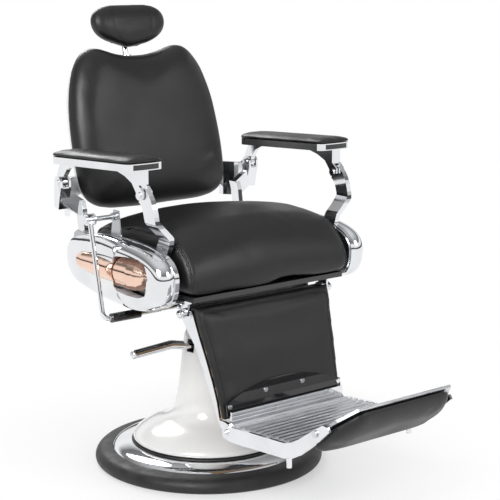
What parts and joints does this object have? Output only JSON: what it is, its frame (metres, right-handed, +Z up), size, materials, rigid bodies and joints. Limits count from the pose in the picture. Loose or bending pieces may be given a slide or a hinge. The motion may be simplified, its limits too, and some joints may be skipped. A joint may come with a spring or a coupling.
{
  "type": "hydraulic barber chair",
  "caption": "Reclining barber chair on a hydraulic column, with padded seat, back, headrest, linked armrests and a leg rest with a ribbed footplate and flip-over foot pad.",
  "frame": {"origin": "centre of the round base on the floor, on the lifting and swivelling axis", "axes": "+Z up; the chair faces -Y; the sitter's left is +X"},
  "size_m": [0.7508, 1.1423, 1.2166],
  "materials": {
    "cast_iron": "rough casting",
    "rubber": "satin",
    "chrome": "polished",
    "enamel": "gloss",
    "black_paint": "satin",
    "steel": "satin",
    "ply": "sawn",
    "leatherette": "matte",
    "copper": "polished",
    "black_gloss": "gloss",
    "white_shell": "gloss",
    "aluminium": "polished"
  },
  "bodies": {
    "base": {"base_plate": "cast_iron", "base_rubber_ring": "rubber", "base_ring": "chrome", "base_bearing": "steel", "base_gasket": "rubber"},
    "column": {"pedestal_cover": "enamel", "cover_collar": "chrome", "pump_cylinder": "black_paint", "lever_bracket": "steel"},
    "pump": {"pump_lever": "chrome"},
    "seat": {"ram": "chrome", "seat_chassis": "black_paint", "seat_board": "black_paint", "seat_cushion": "leatherette", "casing_rear_l": "chrome", "casing_rear_r": "chrome", "casing_front_l": "chrome", "casing_front_r": "chrome", "casing_trims": "chrome", "torpedo_cones": "copper", "torpedo_noses": "copper", "side_plates": "steel", "frame_pins": "steel", "lever_support": "steel", "leg_shaft": "chrome"},
    "recliner": {"recline_lever": "chrome", "recline_grip": "black_gloss"},
    "support_l": {"arm_support_l": "chrome"},
    "support_r": {"arm_support_r": "chrome"},
    "backrest": {"back_casting_l": "chrome", "back_casting_r": "chrome", "backrest_cushion": "leatherette", "backrest_shell": "white_shell", "backrest_board": "ply", "headrest_socket": "chrome"},
    "headrest_stem": {"headrest_post": "chrome"},
    "headrest": {"headrest_plate": "black_paint", "headrest_pad": "leatherette"},
    "leg_rest": {"leg_frame": "chrome", "leg_pad": "leatherette", "leg_board": "ply", "kick_plate": "black_gloss", "kick_screws": "chrome", "foot_bar": "chrome", "footplate": "aluminium", "foot_sides": "chrome", "foot_bolts": "chrome", "foot_bumpers": "chrome"},
    "foot_flap": {"flip_board": "aluminium", "flip_pad": "leatherette"},
    "armrest_l": {"arm_rail_l": "chrome", "arm_inlay_l": "black_gloss", "arm_pad_l": "leatherette", "arm_bracket_l": "chrome", "arm_strut_l": "chrome"},
    "armrest_r": {"arm_rail_r": "chrome", "arm_inlay_r": "black_gloss", "arm_pad_r": "leatherette", "arm_bracket_r": "chrome", "arm_strut_r": "chrome"}
  },
  "joints": [
    {"name": "swivel", "type": "hinge", "parent": "base", "child": "column", "pos_m": [0, 0, 0.04], "axis": [0, 0, 1], "continuous": true},
    {"name": "lift", "type": "slide", "parent": "column", "child": "seat", "axis": [0, 0, 1], "range_m": [-0.105, 0.04]},
    {"name": "pump_stroke", "type": "hinge", "parent": "column", "child": "pump", "pos_m": [-0.05, -0.008, 0.318], "axis": [0, -1, 0], "range_deg": [0, 14], "stiffness_Nm_per_rad": 8, "springref_deg": -20.05},
    {"name": "recline_pull", "type": "hinge", "parent": "seat", "child": "recliner", "pos_m": [-0.366, 0.012, 0.697], "axis": [-1, 0, 0], "range_deg": [0, 12], "stiffness_Nm_per_rad": 8, "springref_deg": -14.32},
    {"name": "recline", "type": "hinge", "parent": "seat", "child": "backrest", "pos_m": [0, 0.193, 0.618], "axis": [-1, 0, 0], "range_deg": [0, 38]},
    {"name": "support_l_swing", "type": "hinge", "parent": "seat", "child": "support_l", "pos_m": [0.276, -0.172, 0.628], "axis": [-1, 0, 0], "range_deg": [0, 38]},
    {"name": "support_r_swing", "type": "hinge", "parent": "seat", "child": "support_r", "pos_m": [-0.276, -0.172, 0.628], "axis": [-1, 0, 0], "range_deg": [0, 38]},
    {"name": "armrest_l_swing", "type": "hinge", "parent": "support_l", "child": "armrest_l", "pos_m": [0.3195, -0.157, 0.775], "axis": [-1, 0, 0], "range_deg": [-38, 0]},
    {"name": "armrest_r_swing", "type": "hinge", "parent": "support_r", "child": "armrest_r", "pos_m": [-0.3195, -0.157, 0.775], "axis": [-1, 0, 0], "range_deg": [-38, 0]},
    {"name": "leg_rest_rise", "type": "hinge", "parent": "seat", "child": "leg_rest", "pos_m": [0, -0.205, 0.476], "axis": [-1, 0, 0], "range_deg": [0, 54]},
    {"name": "foot_flap_turn", "type": "hinge", "parent": "leg_rest", "child": "foot_flap", "pos_m": [0, -0.656, 0.271], "axis": [-1, 0, 0], "range_deg": [0, 160]},
    {"name": "headrest_height", "type": "slide", "parent": "backrest", "child": "headrest_stem", "axis": [0, 0.2448, 0.9696], "range_m": [0, 0.1]},
    {"name": "headrest_tilt", "type": "hinge", "parent": "headrest_stem", "child": "headrest", "pos_m": [0, 0.38419, 1.13899], "axis": [-1, 0, 0], "range_deg": [-8, 25]}
  ],
  "couplings": [
    {"joint": "support_l_swing", "follows": "recline", "ratio": 1},
    {"joint": "support_r_swing", "follows": "recline", "ratio": 1},
    {"joint": "armrest_l_swing", "follows": "recline", "ratio": -1},
    {"joint": "armrest_r_swing", "follows": "recline", "ratio": -1},
    {"joint": "leg_rest_rise", "follows": "recline", "ratio": 1.4}
  ]
}
